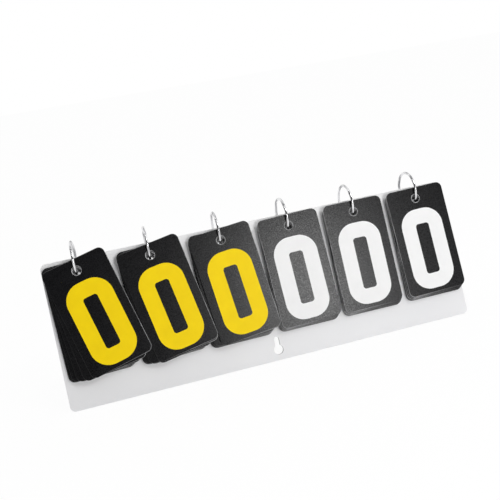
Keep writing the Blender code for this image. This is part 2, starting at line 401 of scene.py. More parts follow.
@dataclass(frozen=True)
class CutEdge:
    """The cut edge of a plastic card, with a painted highlight in patches along one side.

    The side is +1 for the painted highlight on the right edge, and -1 for it on the left one.
    """

    name: str
    highlight_side: float
    colour: Colour = (0.010, 0.010, 0.011)
    painted_highlight: Colour = (0.62, 0.62, 0.63)
    patch_scale: float = 38.0
    patch_detail: float = 3.0
    highlight_reach: float = 0.030
    rough: float = 0.36

    def build(self) -> Material:
        """Make the finish, with the highlight's patches in other places on each piece.

        Returns:
            The material.
        """
        nodes = MaterialNodes(self.name)
        # Painted highlight: pale patches on the edge, on one side of the card only
        patches = nodes.spread(nodes.noise(self.patch_scale, self.patch_detail, own=True))
        reach = self.highlight_reach * self.highlight_side
        share = nodes.combine("MULTIPLY", patches, nodes.along("X", -reach, reach))
        nodes.dress("Base Color", nodes.blend(share, self.colour, self.painted_highlight))
        nodes.dress("Roughness", self.rough)
        return nodes.material


@dataclass(frozen=True)
class CutWall:
    """A cut wall in a cloudy tone, as inside a punched hole. On the white plates its grey is
    painted shade.
    """

    name: str
    colour: Colour
    shade: Colour
    cloud_scale: float = 260.0
    cloud_detail: float = 3.0
    rough: float = 0.4

    def build(self) -> Material:
        """Make the finish.

        Returns:
            The material.
        """
        nodes = MaterialNodes(self.name)
        clouds = nodes.spread(nodes.noise(self.cloud_scale, self.cloud_detail, own=True))
        nodes.dress("Base Color", nodes.blend(clouds, self.colour, self.shade))
        nodes.dress("Roughness", self.rough)
        return nodes.material


@dataclass(frozen=True)
class PrintInk:
    """Screen printed ink of a digit."""

    name: str
    colour: Colour
    thin: Colour
    mottle_scale: float = 60.0
    mottle_detail: float = 4.0
    mottle_keep: float = 0.6
    gloss: float = 0.15
    grain: Grain = Grain(
        scale=1500.0, detail=3.0, keep=0.6, rough=(0.42, 0.56), strength=0.25, height=0.00004
    )

    def build(self) -> Material:
        """Make the finish.

        Returns:
            The material.
        """
        nodes = MaterialNodes(self.name)
        mottle = nodes.noise(self.mottle_scale, self.mottle_detail, self.mottle_keep)
        nodes.dress("Base Color", nodes.blend(nodes.spread(mottle), self.colour, self.thin))
        nodes.dress("Specular IOR Level", self.gloss)
        nodes.grained(self.grain)
        return nodes.material


@dataclass(frozen=True)
class RingPlating:
    """Bright nickel plating on drawn wire, with dark streaks along it painted in as reflection."""

    colour: Colour = (0.85, 0.85, 0.86)
    painted_dark: Colour = (0.30, 0.30, 0.31)
    painted_dark_range: Range = (-0.65, 1.25)
    drawn_share: float = 0.14
    grain: Grain = Grain(
        scale=800.0, detail=2.0, keep=0.5, rough=(0.10, 0.20), strength=0.12, height=0.00003
    )

    def build(self) -> Material:
        """Make the finish.

        Returns:
            The material.
        """
        nodes = MaterialNodes("plated_ring_wire")
        drawn = nodes.grained(self.grain, own=True, drawn=self.drawn_share)
        # Painted reflection: dark streaks along the wire in the plating's colour
        streaks = nodes.spread(drawn, *self.painted_dark_range)
        nodes.dress("Base Color", nodes.blend(streaks, self.colour, self.painted_dark))
        nodes.dress("Metallic", 1.0)
        return nodes.material


# Painted shade: the white plates' cut edges are painted grey and their hole walls dark
PAINTED_SHADE_PLATE_EDGE = CutWall("plate_edge_painted_shade", colour=(0.58, 0.58, 0.585), shade=(0.72, 0.72, 0.725))
PAINTED_SHADE_PLATE_BORE = CutWall("plate_hole_painted_shade", colour=(0.08, 0.08, 0.082), shade=(0.17, 0.17, 0.175))
CARD_BORE = CutWall("card_hole_wall", colour=(0.015, 0.015, 0.016), shade=(0.30, 0.30, 0.305))
CARD_LIP = CutWall("card_hole_lip", colour=(0.22, 0.22, 0.225), shade=(0.55, 0.55, 0.56))
YELLOW_INK = PrintInk("yellow_ink", colour=(0.98, 0.71, 0.002), thin=(0.93, 0.66, 0.002))
WHITE_INK = PrintInk("white_ink", colour=(0.91, 0.91, 0.91), thin=(0.88, 0.88, 0.88))


@dataclass(frozen=True)
class Finishes:
    """All the finishes, built once."""

    plate: Material
    plate_edge: Material
    plate_bore: Material
    card: Material
    home_edge: Material
    guest_edge: Material
    card_bore: Material
    card_lip: Material
    home_ink: Material
    guest_ink: Material
    ring: Material

    @classmethod
    def build(cls) -> Finishes:
        """Make every finish of the scoreboard.

        Returns:
            All of them.
        """
        return cls(
            plate=PlatePlastic().build(),
            plate_edge=PAINTED_SHADE_PLATE_EDGE.build(),
            plate_bore=PAINTED_SHADE_PLATE_BORE.build(),
            card=CardPlastic().build(),
            home_edge=CutEdge("home_card_edge", highlight_side=1.0).build(),
            guest_edge=CutEdge("guest_card_edge", highlight_side=-1.0).build(),
            card_bore=CARD_BORE.build(),
            card_lip=CARD_LIP.build(),
            home_ink=YELLOW_INK.build(),
            guest_ink=WHITE_INK.build(),
            ring=RingPlating().build(),
        )

    def ink(self, side: Side) -> Material:
        """The ink that one side's digits are printed in."""
        return self.home_ink if side is Side.HOME else self.guest_ink

    def edge(self, side: Side) -> Material:
        """The edge of one side's cards."""
        return self.home_edge if side is Side.HOME else self.guest_edge


def arc_points(centre: Point, radius: float, start: float, turn: float, steps: int) -> Loop:
    """Points on an arc, both ends included.

    Args:
        centre: the arc's centre.
        radius: its radius.
        start: angle of the first point.
        turn: angle that it sweeps.
        steps: number of straight pieces.

    Returns:
        The points in order.
    """
    points = []
    for step in range(steps + 1):
        angle = start + turn * step / steps
        points.append((centre[0] + radius * math.cos(angle), centre[1] + radius * math.sin(angle)))
    return points


def circle_loop(centre: Point, radius: float, sides: int) -> Loop:
    """A closed circle without a doubled last point."""
    return arc_points(centre, radius, 0.0, math.tau, sides)[:-1]


def box_corners(across: Range, up: Range, radius: float) -> list[Corner]:
    """The corners of an upright box, each with the same radius.

    Args:
        across: its left and right.
        up: its bottom and top.
        radius: how round each corner is.

    Returns:
        The corners, from the upper right one over the left to the lower right one.
    """
    (left, right), (bottom, top) = across, up
    places = ((right, top), (left, top), (left, bottom), (right, bottom))
    return [(*place, radius) for place in places]


def rounded_loop(corners: list[Corner], steps: int) -> Loop:
    """A closed outline whose corners are rounded.

    Args:
        corners: (x, y, radius) of each corner, in order round the outline.
        steps: straight pieces in each round corner.

    Returns:
        The outline's points.
    """
    points: Loop = []
    for index, (x, y, radius) in enumerate(corners):
        corner = Vector((x, y))
        before = Vector(corners[index - 1][:2])
        after = Vector(corners[(index + 1) % len(corners)][:2])
        back = (before - corner).normalized()
        ahead = (after - corner).normalized()
        half = back.angle(ahead) / 2.0
        centre = corner + (back + ahead).normalized() * (radius / math.sin(half))
        first = corner + back * (radius / math.tan(half)) - centre
        last = corner + ahead * (radius / math.tan(half)) - centre
        start = math.atan2(first.y, first.x)
        turn = math.atan2(last.y, last.x) - start
        turn = (turn + math.pi) % math.tau - math.pi
        points.extend(arc_points((centre.x, centre.y), radius, start, turn, steps))
    return points


def turned_loop(loop: Loop, solid_inside: bool) -> Loop:
    """The loop in the order that keeps the sheet on its left.

    Args:
        loop: the points.
        solid_inside: true for an outline, false for a hole.

    Returns:
        The same points, reversed where needed.
    """
    area = 0.0
    for index, (x, y) in enumerate(loop):
        before_x, before_y = loop[index - 1]
        area += before_x * y - x * before_y
    return loop if (area > 0.0) == solid_inside else loop[::-1]


def inset_loop(loop: Loop, width: float, sharpest: float = 0.3) -> Loop:
    """Move a loop towards the sheet on its left.

    Args:
        loop: the points.
        width: how far each side moves.
        sharpest: cosine at a corner beyond which its point moves no further.

    Returns:
        The moved points.
    """
    moved = []
    for index, point in enumerate(loop):
        here = Vector(point)
        first = (here - Vector(loop[index - 1])).normalized()
        second = (Vector(loop[(index + 1) % len(loop)]) - here).normalized()
        along = (first + second).normalized()
        reach = width / max(along.dot(first), sharpest)
        moved.append((here.x - along.y * reach, here.y + along.x * reach))
    return moved


def around(row: list) -> list[tuple]:
    """Each item of a closed row with the one after it."""
    return list(zip(row, row[1:] + row[:1]))


def band(bm: bmesh.types.BMesh, first: list[Vert], second: list[Vert]) -> list[bmesh.types.BMFace]:
    """Close the space between two rows of vertices.

    Args:
        bm: the mesh that is being made.
        first: one closed row.
        second: the next one, with the same count.

    Returns:
        The new faces.
    """
    pairs = around(list(zip(first, second)))
    return [bm.faces.new((here[0], after[0], after[1], here[1])) for here, after in pairs]


def closed_mesh(bm: bmesh.types.BMesh, name: str) -> Mesh:
    """Turn all the faces outward and make the mesh.

    Args:
        bm: the faces, which are freed.
        name: the mesh's name.

    Returns:
        The mesh.
    """
    bmesh.ops.recalc_face_normals(bm, faces=bm.faces)
    mesh = bpy.data.meshes.new(name)
    bm.to_mesh(mesh)
    bm.free()
    return mesh


@dataclass(frozen=True)
class Lip:
    """The rounded edge that a cutter leaves round a sheet and its holes, pale at a hole's lip and
    with a painted highlight along a card's outline.
    """

    outline: float = 0.0
    hole: float = 0.0
    depth: float = 0.0

    def rows(self, loop: Loop, is_hole: bool, back: float, front: float) -> list[Row]:
        """The rows of points that a wall of the sheet runs through.

        Args:
            loop: the wall's own points.
            is_hole: true for a hole's wall, false for the outline's.
            back: level of the back face.
            front: level of the front face.

        Returns:
            Each row with its level, from the back to the front.
        """
        width = self.hole if is_hole else self.outline
        if width <= 0.0:
            return [(loop, back), (loop, front)]
        inner = inset_loop(loop, width)
        low, high = back + self.depth, front - self.depth
        return [(inner, back), (loop, low), (loop, high), (inner, front)]


def wall_surface(is_hole: bool, strip: int) -> Surface:
    """What a strip of a wall is.

    Args:
        is_hole: true for a hole's wall, false for the outline's.
        strip: its number from the back, where 2 is the front lip.

    Returns:
        The surface.
    """
    if not is_hole:
        return Surface.EDGE
    return Surface.HOLE_LIP if strip == 2 else Surface.BORE


def sheet_mesh(
    name: str,
    loops: list[Loop],
    back: float,
    front: float,
    lip: Lip = Lip(),
    sharp: float = math.radians(30.0),
) -> Mesh:
    """A flat sheet with holes as one closed mesh, with its surfaces told apart.

    Args:
        name: the mesh's name.
        loops: the outline and then the holes, each in the sheet's own plane.
        back: level of the back face.
        front: level of the front face.
        lip: the sheet's sloping edge.
        sharp: angle beyond which an edge stays sharp.

    Returns:
        The mesh, with its faces pointing out.
    """
    bm = bmesh.new()
    rims: list[list[bmesh.types.BMEdge]] = [[], []]
    walls = []
    for index, loop in enumerate(loops):
        is_hole = index > 0
        rows = lip.rows(turned_loop(loop, not is_hole), is_hole, back, front)
        made = [[bm.verts.new((x, y, level)) for x, y in row] for row, level in rows]
        for strip, (first, second) in enumerate(zip(made, made[1:])):
            surface = wall_surface(is_hole, strip)
            walls.extend((face, surface) for face in band(bm, first, second))
        for rim, row in zip(rims, (made[0], made[-1])):
            rim.extend(bm.edges.get(pair) for pair in around(row))
    for rim in rims:
        bmesh.ops.triangle_fill(bm, use_beauty=True, use_dissolve=False, edges=rim)
    for face, surface in walls:
        face.material_index = surface
    mesh = closed_mesh(bm, name)
    mesh.set_sharp_from_angle(angle=sharp)
    for face in mesh.polygons:
        face.use_smooth = face.material_index != Surface.FACE
    return mesh


def tube_mesh(name: str, rows: list[list[Vector]], sharp: float = math.radians(50.0)) -> Mesh:
    """A closed tube through rows of points, with flat ends.

    Args:
        name: the mesh's name.
        rows: rings of points with the same count, from one end to the other.
        sharp: angle beyond which an edge stays sharp.

    Returns:
        The mesh, with its faces pointing out.
    """
    bm = bmesh.new()
    made = [[bm.verts.new(point) for point in row] for row in rows]
    for first, second in zip(made, made[1:]):
        band(bm, first, second)
    bm.faces.new(made[0])
    bm.faces.new(made[-1])
    mesh = closed_mesh(bm, name)
    mesh.shade_smooth()
    mesh.set_sharp_from_angle(angle=sharp)
    return mesh


def add_piece(
    name: str,
    mesh: Mesh,
    materials: list[Material],
    matrix: Matrix,
    body: str,
    replaces: tuple[str, ...] = (),
) -> bpy.types.Object:
    """Put a finished piece on its body and report it.

    Args:
        name: the piece's name.
        mesh: its mesh, in its own directions.
        materials: its finishes, in the order of the mesh's slots.
        matrix: from the mesh's directions to the object's frame.
        body: the body that it moves with.
        replaces: the nodes that it stands for.

    Returns:
        The new object.
    """
    piece = bpy.data.objects.new(name, mesh)
    for material in materials:
        mesh.materials.append(material)
    bpy.context.scene.collection.objects.link(piece)
    piece.matrix_world = matrix
    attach(piece, body)
    if replaces:
        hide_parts(*replaces)
    LOG.info("%s rides on %s", name, body)
    return piece


@dataclass
class StandPlate:
    """One of the two white plates, with its ring holes and its keyhole."""

    node: str
    body: str
    board: Board
    finishes: Finishes
    corner: float = 0.0050
    corner_steps: int = 10
    hole_radius: float = 0.0030
    hole_sides: int = 40
    hole_reach: float = 0.0250
    edge_margin: float = 0.0006
    keyhole_radius: float = 0.0045
    keyhole_rise: float = 0.0098
    keyhole_steps: int = 36
    neck_width: float = 0.0046
    neck_top: float = 0.0220
    neck_steps: int = 16
    edge_round: float = 0.00028
    edge_steps: int = 2
    edge_angle: float = math.radians(50.0)

    def build(self) -> None:
        """Draw the plate over its node."""
        verts = self.board.vertices_of(self.node)
        left, right = extent([v.x for v in verts])
        bottom, top = extent([v.y for v in verts])
        back, front = extent([v.z for v in verts])
        corners = box_corners((left, right), (bottom, top), self.corner)
        loops = [rounded_loop(corners, self.corner_steps)]
        for across in self.board.ring_places():
            hole = self.hole_centre(verts, across, top)
            loops.append(circle_loop(hole, self.hole_radius, self.hole_sides))
        loops.append(self.keyhole((left + right) / 2.0, bottom))
        name = self.node + "_sheet"
        # The plate's cut edges and hole walls take painted shade
        finishes = [self.finishes.plate, self.finishes.plate_edge, self.finishes.plate_bore]
        mesh = sheet_mesh(name, loops, back, front)
        matrix = self.board.matrix
        piece = add_piece(name, mesh, finishes, matrix, self.body, (self.node,))
        soften = piece.modifiers.new("round_edges", "BEVEL")
        soften.width = self.edge_round
        soften.segments = self.edge_steps
        soften.limit_method = "ANGLE"
        soften.angle_limit = self.edge_angle
        soften.harden_normals = True

    def hole_centre(self, verts: list[Vector], across: float, top: float) -> Point:
        """Find one ring hole of the node.

        Args:
            verts: the node's vertices on the board.
            across: the ring's place along the plate.
            top: the plate's top edge.

        Returns:
            The hole's centre on the board.
        """
        rim = [
            v.y
            for v in verts
            if abs(v.x - across) < self.hole_radius + self.edge_margin
            and top - self.hole_reach < v.y < top - self.edge_margin
        ]
        low, high = extent(rim)
        return across, (low + high) / 2.0

    def keyhole(self, across: float, bottom: float) -> Loop:
        """Outline of the keyhole: a round hole with a narrow neck above it.

        Args:
            across: its place along the plate.
            bottom: the plate's bottom edge.

        Returns:
            The outline's points.
        """
        centre = (across, bottom + self.keyhole_rise)
        half_neck = self.neck_width / 2.0
        opening = math.acos(half_neck / self.keyhole_radius)
        start, sweep = math.pi - opening, math.pi + 2.0 * opening
        points = arc_points(centre, self.keyhole_radius, start, sweep, self.keyhole_steps)
        neck = (across, bottom + self.neck_top - half_neck)
        points.extend(arc_points(neck, half_neck, 0.0, math.pi, self.neck_steps))
        return points


@dataclass(frozen=True)
class DigitShape:
    """The block digits that are printed on the cards."""

    width: float = 0.0428
    height: float = 0.0784
    stroke: float = 0.0146
    outer: float = 0.0172
    inner: float = 0.0028
    tip: float = 0.0012
    tail: float = 0.0120
    steps: int = 12
    copied_steps: int = 8

    def loops(self, value: int) -> list[Loop]:
        """Outlines of one digit, with x from its left side and y from its bottom.

        The 5 is a mirrored 2, and the 9 is a 6 turned upside down.

        Args:
            value: the digit, 0 to 9.

        Returns:
            The outer loop and then the holes.
        """
        w, h = self.width, self.height
        if value == 5:
            mirrored = [[(w - x, y, r) for x, y, r in loop] for loop in self.corners(2)]
            return [rounded_loop(loop, self.copied_steps) for loop in mirrored]
        if value == 9:
            turned = [[(w - x, h - y, r) for x, y, r in loop] for loop in self.corners(6)]
            return [rounded_loop(loop, self.copied_steps) for loop in turned]
        return [rounded_loop(loop, self.steps) for loop in self.corners(value)]

    def corners(self, value: int) -> list[list[Corner]]:
        """Corners of a digit that isn't a copy of another.

        Args:
            value: the digit.

        Returns:
            The outer loop's corners and then those of the holes.
        """
        w, h, s = self.width, self.height, self.stroke
        out, fit, tip = self.outer, self.inner, self.tip
        low, high = (h - s) / 2.0, (h + s) / 2.0
        upper = h - s
        drop = upper - self.tail
        rim = box_corners((0.0, w), (0.0, h), out)
        stem_left, stem_right = (w - s) / 2.0, (w + s) / 2.0
        shapes: dict[int, list[list[Corner]]] = {
            0: [rim, self.window(s, upper)],
            1: [
                [
                    (stem_right, 0.0, tip), (stem_right, h, tip), (stem_left, h, tip),
                    (s / 2.0, upper, tip), (s / 2.0, drop, tip),
                    (stem_left, upper - tip, tip), (stem_left, 0.0, tip),
                ]
            ],
            2: [
                [
                    (0.0, 0.0, tip), (w, 0.0, tip), (w, s, tip), (s, s, fit), (s, low, fit),
                    (w, low, out), (w, h, out), (0.0, h, out), (0.0, drop, tip), (s, drop, tip),
                    (s, upper, fit), (w - s, upper, fit), (w - s, high, fit), (0.0, high, out),
                ]
            ],
            3: [
                [
                    (0.0, h - drop, tip), (0.0, 0.0, out), (w, 0.0, out), (w, h, out),
                    (0.0, h, out), (0.0, drop, tip), (s, drop, tip), (s, upper, fit),
                    (w - s, upper, fit), (w - s, high, fit), (s, high, tip), (s, low, tip),
                    (w - s, low, fit), (w - s, s, fit), (s, s, fit), (s, h - drop, tip),
                ]
            ],
            4: [
                [
                    (w - s, 0.0, tip), (w, 0.0, tip), (w, h, tip), (w - s, h, tip),
                    (w - s, high, fit), (s, high, fit), (s, h, tip), (0.0, h, tip),
                    (0.0, low, tip), (w - s, low, fit),
                ]
            ],
            6: [
                [
                    (0.0, 0.0, out), (w, 0.0, out), (w, high, out), (s, high, fit),
                    (s, upper, fit), (w - s, upper, fit), (w - s, drop, tip),
                    (w, drop, tip), (w, h, out), (0.0, h, out),
                ],
                self.window(s, low),
            ],
            7: [
                [
                    (w - s, 0.0, tip), (w, 0.0, tip), (w, h, tip), (0.0, h, tip),
                    (0.0, upper, tip), (w - s, upper, fit),
                ]
            ],
            8: [rim, self.window(s, low), self.window(high, upper)],
        }
        return shapes[value]

    def window(self, low: float, high: float) -> list[Corner]:
        """The slot inside a closed digit, between two heights."""
        return box_corners((self.stroke, self.width - self.stroke), (low, high), self.inner)


@dataclass(frozen=True)
class CardPlace:
    """Where one card lies on the board: its hole, its lean, its levels and its size."""

    hole: Vector
    lean: float
    back: float
    front: float
    half_width: float
    above: float
    below: float

    @classmethod
    def measured(cls, board: Board, node: str, hole_drop: float) -> CardPlace:
        """Measure a card node, whose left and right halves mirror each other.

        Args:
            board: the board that it lies on.
            node: the node's name.
            hole_drop: from the card's top edge down to its hole.

        Returns:
            The place of the node's cards.
        """
        verts = board.vertices_of(node)
        mean_x = sum(v.x for v in verts) / len(verts)
        mean_y = sum(v.y for v in verts) / len(verts)
        xx = sum((v.x - mean_x) ** 2 for v in verts)
        yy = sum((v.y - mean_y) ** 2 for v in verts)
        xy = sum((v.x - mean_x) * (v.y - mean_y) for v in verts)
        lean = 0.5 * math.atan2(-2.0 * xy, yy - xx)
        aside = Vector((math.cos(lean), math.sin(lean)))
        upward = Vector((-math.sin(lean), math.cos(lean)))
        offsets = [Vector((v.x - mean_x, v.y - mean_y)) for v in verts]
        left, right = extent([offset.dot(aside) for offset in offsets])
        bottom, top = extent([offset.dot(upward) for offset in offsets])
        back, front = extent([v.z for v in verts])
        middle = Vector((mean_x, mean_y)) + aside * ((left + right) / 2.0)
        hole = middle + upward * (top - hole_drop)
        below = top - bottom - hole_drop
        return cls(hole, lean, back, front, (right - left) / 2.0, hole_drop, below)


@dataclass
class CardPack:
    """Ten number cards on one ring, where those behind the first two hang a little askew."""

    name: str
    side: Side
    board: Board
    finishes: Finishes
    digits: DigitShape
    hole_drop: float = 0.01065
    hole_radius: float = 0.0040
    hole_sides: int = 40
    corner: float = 0.0055
    corner_steps: int = 8
    air: float = 0.00008
    lip: Lip = Lip(outline=0.00030, hole=0.00045, depth=0.00012)
    ink_height: float = 0.00004
    ink_root: float = 0.00010
    digit_drop: float = 0.01065
    stray_leans: tuple[float, ...] = (0.0, 0.0, -0.35, 0.4, -0.5, 0.3, -0.3, 0.45, -0.25, 0.35)

    def build(self) -> None:
        """Draw every card of the pack, from the one in front to the one at the back."""
        for value in (0, 1):
            node = f"{self.name}_card_{value}"
            self.card(value, node, node, 0, 1)
        for value in range(2, 10):
            first = value - value % 2
            node = f"{self.name}_cards_{first}_{first + 1}"
            self.card(value, node, "front_frame", 1 - value % 2, 2)

    def card(self, value: int, node: str, body: str, layer: int, layers: int) -> None:
        """One card with its printed digit.

        Args:
            value: the digit on its face.
            node: the node that holds it.
            body: the body that it moves with.
            layer: its place in the node, from the back.
            layers: how many cards the node holds.
        """
        place = CardPlace.measured(self.board, node, self.hole_drop)
        pitch = (place.front - place.back) / layers
        back = place.back + pitch * layer + (self.air / 2.0 if layers > 1 else 0.0)
        front = back + pitch - (self.air if layers > 1 else 0.0)
        lean = place.lean + math.radians(self.stray_leans[value])
        spin = Matrix.Rotation(lean, 4, "Z")
        matrix = self.board.matrix @ Matrix.Translation((*place.hole, 0.0)) @ spin
        across, up = (-place.half_width, place.half_width), (-place.below, place.above)
        outline = rounded_loop(box_corners(across, up, self.corner), self.corner_steps)
        hole = circle_loop((0.0, 0.0), self.hole_radius, self.hole_sides)
        name = f"{self.name}_number_{value}"
        mesh = sheet_mesh(name, [outline, hole], back, front, self.lip)
        replaced = (node,) if layer == 0 else ()
        made = self.finishes
        finishes = [made.card, made.edge(self.side), made.card_bore, made.card_lip]
        add_piece(name, mesh, finishes, matrix, body, replaced)
        self.digit(value, name + "_print", front, matrix, body)

    def digit(self, value: int, name: str, face: float, matrix: Matrix, body: str) -> None:
        """The printed digit on a card's face.

        Args:
            value: the digit.
            name: the print's name.
            face: level of the card's face.
            matrix: from the card's directions to the object's frame.
            body: the body that it moves with.
        """
        left = -self.digits.width / 2.0
        bottom = -self.digit_drop - self.digits.height
        loops = []
        for loop in self.digits.loops(value):
            loops.append([(x + left, y + bottom) for x, y in loop])
        mesh = sheet_mesh(name, loops, face - self.ink_root, face + self.ink_height)
        ink = self.finishes.ink(self.side)
        add_piece(name, mesh, [ink, ink, ink], matrix, body)


@dataclass
class LooseLeafRing:
    """A wire ring in two halves, with a riveted knuckle and a latch.

    Angles on the ring run from straight down towards the front. Values that end in share
    are parts of the wire's radius, or of the rivet head's radius and thickness.
    """

    name: str
    board: Board
    finishes: Finishes
    twist: float
    shift: float
    wire: float = 0.0012
    latch_angle: float = math.radians(120.0)
    eye_radius: float = 0.00175
    eye_thickness: float = 0.0007
    eye_steps: int = 28
    tongue_width: float = 0.0014
    tongue_sink: float = 0.0012
    play: float = 0.0003
    end_round: float = 0.0003
    knuckle_end_shares: Range = (0.72, 0.93)
    latch_end_shares: Range = (1.02, 0.92)
    collar_length: float = 0.0016
    collar_share: float = 1.05
    rivet_radius: float = 0.0004
    rivet_head: float = 0.0011
    rivet_thickness: float = 0.0003
    crown_share: float = 0.45
    shoulder_share: float = 0.85
    slope_share: float = 0.35
    sides: int = 24
    steps: int = 72
    radius: float = field(init=False)
    knuckle_angle: float = field(init=False)
    matrix: Matrix = field(init=False)

    def __post_init__(self) -> None:
        """Measure the ring's size and place from its joints."""
        pivot = Vector(joint_named(f"{self.name}_card_0_flip")["pos_m"])
        knuckle = Vector(joint_named(f"{self.name}_ring_open")["pos_m"])
        to_frame = self.board.matrix.to_3x3()
        reach = to_frame.inverted() @ (knuckle - pivot)
        self.radius = reach.length
        self.knuckle_angle = math.atan2(reach.z, -reach.y) % math.tau
        centre = pivot + Vector((self.shift, 0.0, 0.0))
        twisted = Matrix.Rotation(self.twist, 4, "Y")
        self.matrix = Matrix.Translation(centre) @ to_frame.to_4x4() @ twisted

    def build(self) -> None:
        """Draw both halves and the rivet."""
        eye_turn = (self.eye_radius + self.play) / self.radius
        latch_turn = self.play / 2.0 / self.radius
        first = self.knuckle_angle + eye_turn
        last = self.latch_angle + math.tau - latch_turn
        self.half("base", "front_frame", first, last, 1.0)
        first = self.knuckle_angle - eye_turn
        last = self.latch_angle + latch_turn
        self.half("gate", f"{self.name}_ring_gate", first, last, -1.0)
        self.rivet()

    def point(self, angle: float) -> Vector:
        """A place on the wire's centre line."""
        return Vector((0.0, -self.radius * math.cos(angle), self.radius * math.sin(angle)))

    def half(self, part: str, body: str, start: float, end: float, towards: float) -> None:
        """One half of the ring: its wire and its knuckle eye.

        Args:
            part: base or gate.
            body: the body that it moves with.
            start: angle of its knuckle end.
            end: angle of its latch end.
            towards: +1 where the angle rises from the knuckle, and -1 where it falls.
        """
        node = f"{self.name}_ring_{part}"
        plating = self.finishes.ring
        wire = self.wire_mesh(node + "_wire", start, end)
        add_piece(node + "_wire", wire, [plating], self.matrix, body, (node,))
        eye = self.eye_mesh(node + "_eye", towards)
        quarter = math.pi / 2.0
        upright = Matrix.Rotation(quarter, 4, "Y") @ Matrix.Rotation(quarter, 4, "Z")
        add_piece(node + "_eye", eye, [plating, plating], self.matrix @ upright, body)

    def rivet(self) -> None:
        """The rivet that pins the two eyes, with a round head at each end."""
        inner = self.play / 2.0 + self.eye_thickness
        outer = inner + self.play + self.rivet_thickness
        slope = self.rivet_thickness * self.slope_share
        half = [
            (inner + self.play, self.rivet_radius),
            (inner + self.play, self.rivet_head),
            (outer - slope, self.rivet_head * self.shoulder_share),
            (outer, self.rivet_head * self.crown_share),
        ]
        profile = [(-across, radius) for across, radius in reversed(half)] + half
        centre = self.point(self.knuckle_angle)
        rows = []
        for across, radius in profile:
            circle = circle_loop((centre.y, centre.z), radius, self.sides)
            rows.append([Vector((across, y, z)) for y, z in circle])
        node = f"{self.name}_ring_rivet"
        mesh = tube_mesh(node + "_pin", rows)
        plating = [self.finishes.ring]
        add_piece(node + "_pin", mesh, plating, self.matrix, "front_frame", (node,))

    def wire_mesh(self, name: str, start: float, end: float) -> Mesh:
        """A round wire with softened ends and a collar at the latch.

        Args:
            name: the mesh's name.
            start: angle of its knuckle end.
            end: angle of its latch end.

        Returns:
            The closed mesh.
        """
        ahead = 1.0 if end > start else -1.0
        lead = self.end_round / self.radius * ahead
        collar = self.collar_length / self.radius * ahead
        tip, neck = self.knuckle_end_shares
        shoulder, mouth = self.latch_end_shares
        stations = [(start, tip), (start + lead / 2.0, neck)]
        # One lead at the knuckle, and one on either side of the collar
        body = end - start - 3.0 * lead - collar
        for step in range(self.steps + 1):
            stations.append((start + lead + body * step / self.steps, 1.0))
        stations.extend([(end - lead - collar, self.collar_share), (end - lead, self.collar_share)])
        stations.extend([(end - lead / 2.0, shoulder), (end, mouth)])
        rows = []
        for angle, share in stations:
            outward = self.point(angle).normalized()
            row = []
            for side in range(self.sides):
                turn = math.tau * side / self.sides
                offset = Vector((math.cos(turn), 0.0, 0.0)) + outward * math.sin(turn)
                row.append(self.point(angle) + offset * self.wire * share)
            rows.append(row)
        return tube_mesh(name, rows)

    def eye_mesh(self, name: str, towards: float) -> Mesh:
        """The flat eye round the rivet, with its tongue.

        Args:
            name: the mesh's name.
            towards: +1 where the wire leads on by a rising angle, and -1 by a falling one.

        Returns:
            The closed mesh, in height, depth and across.
        """
        knuckle = self.point(self.knuckle_angle)
        along = self.point(self.knuckle_angle + towards * math.pi / 2.0).normalized()
        heading = math.atan2(along.z, along.y)
        half = self.tongue_width / 2.0
        spread = math.asin(half / self.eye_radius)
        centre = (knuckle.y, knuckle.z)
        start, turn = heading + spread, math.tau - 2.0 * spread
        points = arc_points(centre, self.eye_radius, start, turn, self.eye_steps)
        reach = self.eye_radius + self.play + self.tongue_sink
        for sign in (-1.0, 1.0):
            x = centre[0] + reach * math.cos(heading) - sign * half * math.sin(heading)
            y = centre[1] + reach * math.sin(heading) + sign * half * math.cos(heading)
            points.append((x, y))
        low = -self.play / 2.0 - self.eye_thickness if towards > 0.0 else self.play / 2.0
        return sheet_mesh(name, [points], low, low + self.eye_thickness)


@dataclass
class ViewOfPhoto:
    """The camera, at the photograph's distance and angles from the board."""

    board: Board
    roll: float = math.radians(12.380)
    yaw: float = math.radians(-11.931)
    pitch: float = math.radians(0.950)
    aside: float = 0.00272
    above: float = 0.01532
    distance: float = 0.70248
    lens: float = 53.98
    farthest: float = 20.0
    hole_line_drop: float = 0.01226

    def build(self) -> None:
        """Add the camera and make it the scene's own."""
        verts = self.board.vertices_of("front_plate")
        left, right = extent([v.x for v in verts])
        top = max(v.y for v in verts)
        face = max(v.z for v in verts)
        turn = (
            Matrix.Rotation(self.roll, 3, "Z")
            @ Matrix.Rotation(self.yaw, 3, "Y")
            @ Matrix.Rotation(self.pitch, 3, "X")
        )
        shift = turn.transposed() @ Vector((self.aside, self.above, self.distance))
        to_frame = self.board.matrix.to_3x3()
        axes = [to_frame @ Vector((row.x, row.y, -row.z)) for row in turn]
        start = Vector(((left + right) / 2.0, top - self.hole_line_drop, face))
        matrix = Matrix((axes[0], axes[1], -axes[2])).transposed().to_4x4()
        matrix.translation = self.board.matrix @ (start + Vector((-shift.x, -shift.y, shift.z)))
        data = bpy.data.cameras.new("photo_camera")
        data.lens = self.lens
        data.clip_end = self.farthest
        camera = bpy.data.objects.new("photo_camera", data)
        camera.matrix_world = matrix
        bpy.context.scene.collection.objects.link(camera)
        bpy.context.scene.camera = camera


@dataclass(frozen=True)
class SoftLamp:
    """A lamp that faces the board, at an offset in metres and with a power in watts."""

    name: str
    offset: Place
    size: tuple[float, float]
    power: float

    def build(self, target: Vector) -> None:
        """Add the lamp.

        Args:
            target: the place that it faces, and that its offset starts from.
        """
        data = bpy.data.lights.new(self.name, "AREA")
        data.shape = "RECTANGLE"
        data.size, data.size_y = self.size
        data.energy = self.power
        offset = Vector(self.offset)
        lamp = bpy.data.objects.new(self.name, data)
        lamp.location = target + offset
        lamp.rotation_euler = (-offset).to_track_quat("-Z", "Y").to_euler()
        bpy.context.scene.collection.objects.link(lamp)


